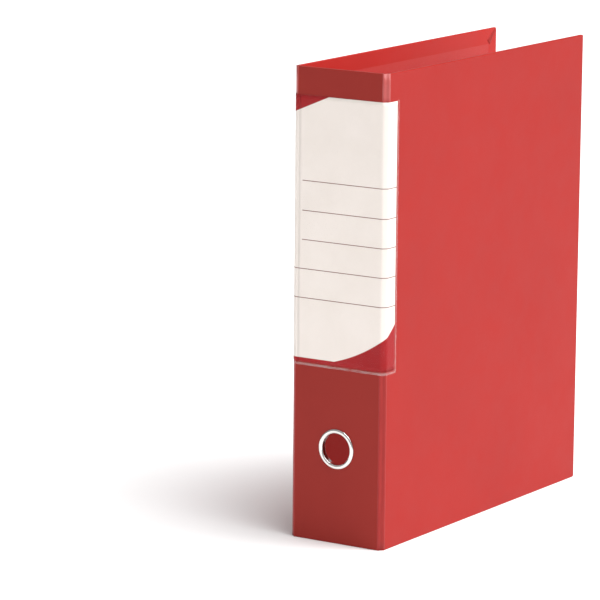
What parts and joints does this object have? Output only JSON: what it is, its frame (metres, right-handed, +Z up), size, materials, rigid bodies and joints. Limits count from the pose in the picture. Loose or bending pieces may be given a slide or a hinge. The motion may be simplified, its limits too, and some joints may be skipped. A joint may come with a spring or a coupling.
{
  "type": "lever arch file",
  "caption": "Upright lever arch file: board covers hinged to a wide spine with a finger ring and a wrap-round label pocket, and a lever-worked two-ring mechanism inside.",
  "frame": {"origin": "middle of the footprint, on the surface that the closed file stands on", "axes": "+Z up along the spine; the spine's outer face looks along -Y; the front cover is at +X, and the back cover, which carries the mechanism, at -X"},
  "size_m": [0.0815, 0.2862, 0.35],
  "materials": {
    "red_film": "satin, fine grained",
    "red_lining": "matt",
    "greyboard": "raw",
    "label_card": "printed card",
    "clear_film": "clear",
    "nickel_plate": "bright nickel plate",
    "spring_steel": "drawn wire",
    "grey_inlay": "moulded, plain ring and dot"
  },
  "bodies": {
    "spine": {"spine_board": "greyboard", "spine_covering": "red_film", "spine_lining": "red_lining", "finger_ring": "nickel_plate", "finger_ring_washer": "nickel_plate", "label_pocket": "clear_film", "label_card": "label_card", "hinge_strip_front": "red_film", "hinge_strip_back": "red_film"},
    "front_cover": {"front_board": "greyboard", "front_covering": "red_film", "front_lining": "red_lining"},
    "back_cover": {"back_board": "greyboard", "back_covering": "red_film", "back_lining": "red_lining", "base_plate": "nickel_plate", "base_rivets": "nickel_plate", "post_lower": "nickel_plate", "post_upper": "nickel_plate", "arch_clip_lower": "nickel_plate", "arch_clip_upper": "nickel_plate", "arch_spring": "spring_steel", "lever_bracket": "nickel_plate", "bracket_rivets": "nickel_plate", "lever_pin": "nickel_plate"},
    "arches": {"arch_wire": "nickel_plate"},
    "lever": {"lever_arm": "nickel_plate", "roller_pin": "nickel_plate"},
    "roller": {"lever_roller": "nickel_plate"},
    "press_bar": {"press_bar": "nickel_plate", "press_bar_knob": "nickel_plate", "knob_inlay": "grey_inlay", "knob_rivet": "nickel_plate"}
  },
  "joints": [
    {"name": "front_cover_hinge", "type": "hinge", "parent": "spine", "child": "front_cover", "pos_m": [0.0379, -0.1404, 0.175], "axis": [0, 0, -1], "range_deg": [0, 105], "deforming": ["hinge_strip_front", "label_pocket", "label_card"]},
    {"name": "back_cover_hinge", "type": "hinge", "parent": "spine", "child": "back_cover", "pos_m": [-0.0379, -0.1404, 0.175], "axis": [0, 0, 1], "range_deg": [0, 105], "deforming": ["hinge_strip_back"]},
    {"name": "lever_pivot", "type": "hinge", "parent": "back_cover", "child": "lever", "pos_m": [-0.02215, -0.0985, 0.1995], "axis": [0, -1, 0], "range_deg": [0, 25]},
    {"name": "arches_swing", "type": "hinge", "parent": "back_cover", "child": "arches", "pos_m": [-0.0277, -0.115, 0.186], "axis": [0, 0, -1], "range_deg": [0, 27], "deforming": ["arch_spring"]},
    {"name": "roller_spin", "type": "hinge", "parent": "lever", "child": "roller", "pos_m": [-0.02215, -0.0985, 0.1815], "axis": [0, 1, 0], "continuous": true},
    {"name": "press_bar_slide", "type": "slide", "parent": "back_cover", "child": "press_bar", "axis": [1, 0, 0], "range_m": [0, 0.03]}
  ],
  "couplings": [
    {"joint": "arches_swing", "follows": "lever_pivot", "ratio": 1.08}
  ]
}
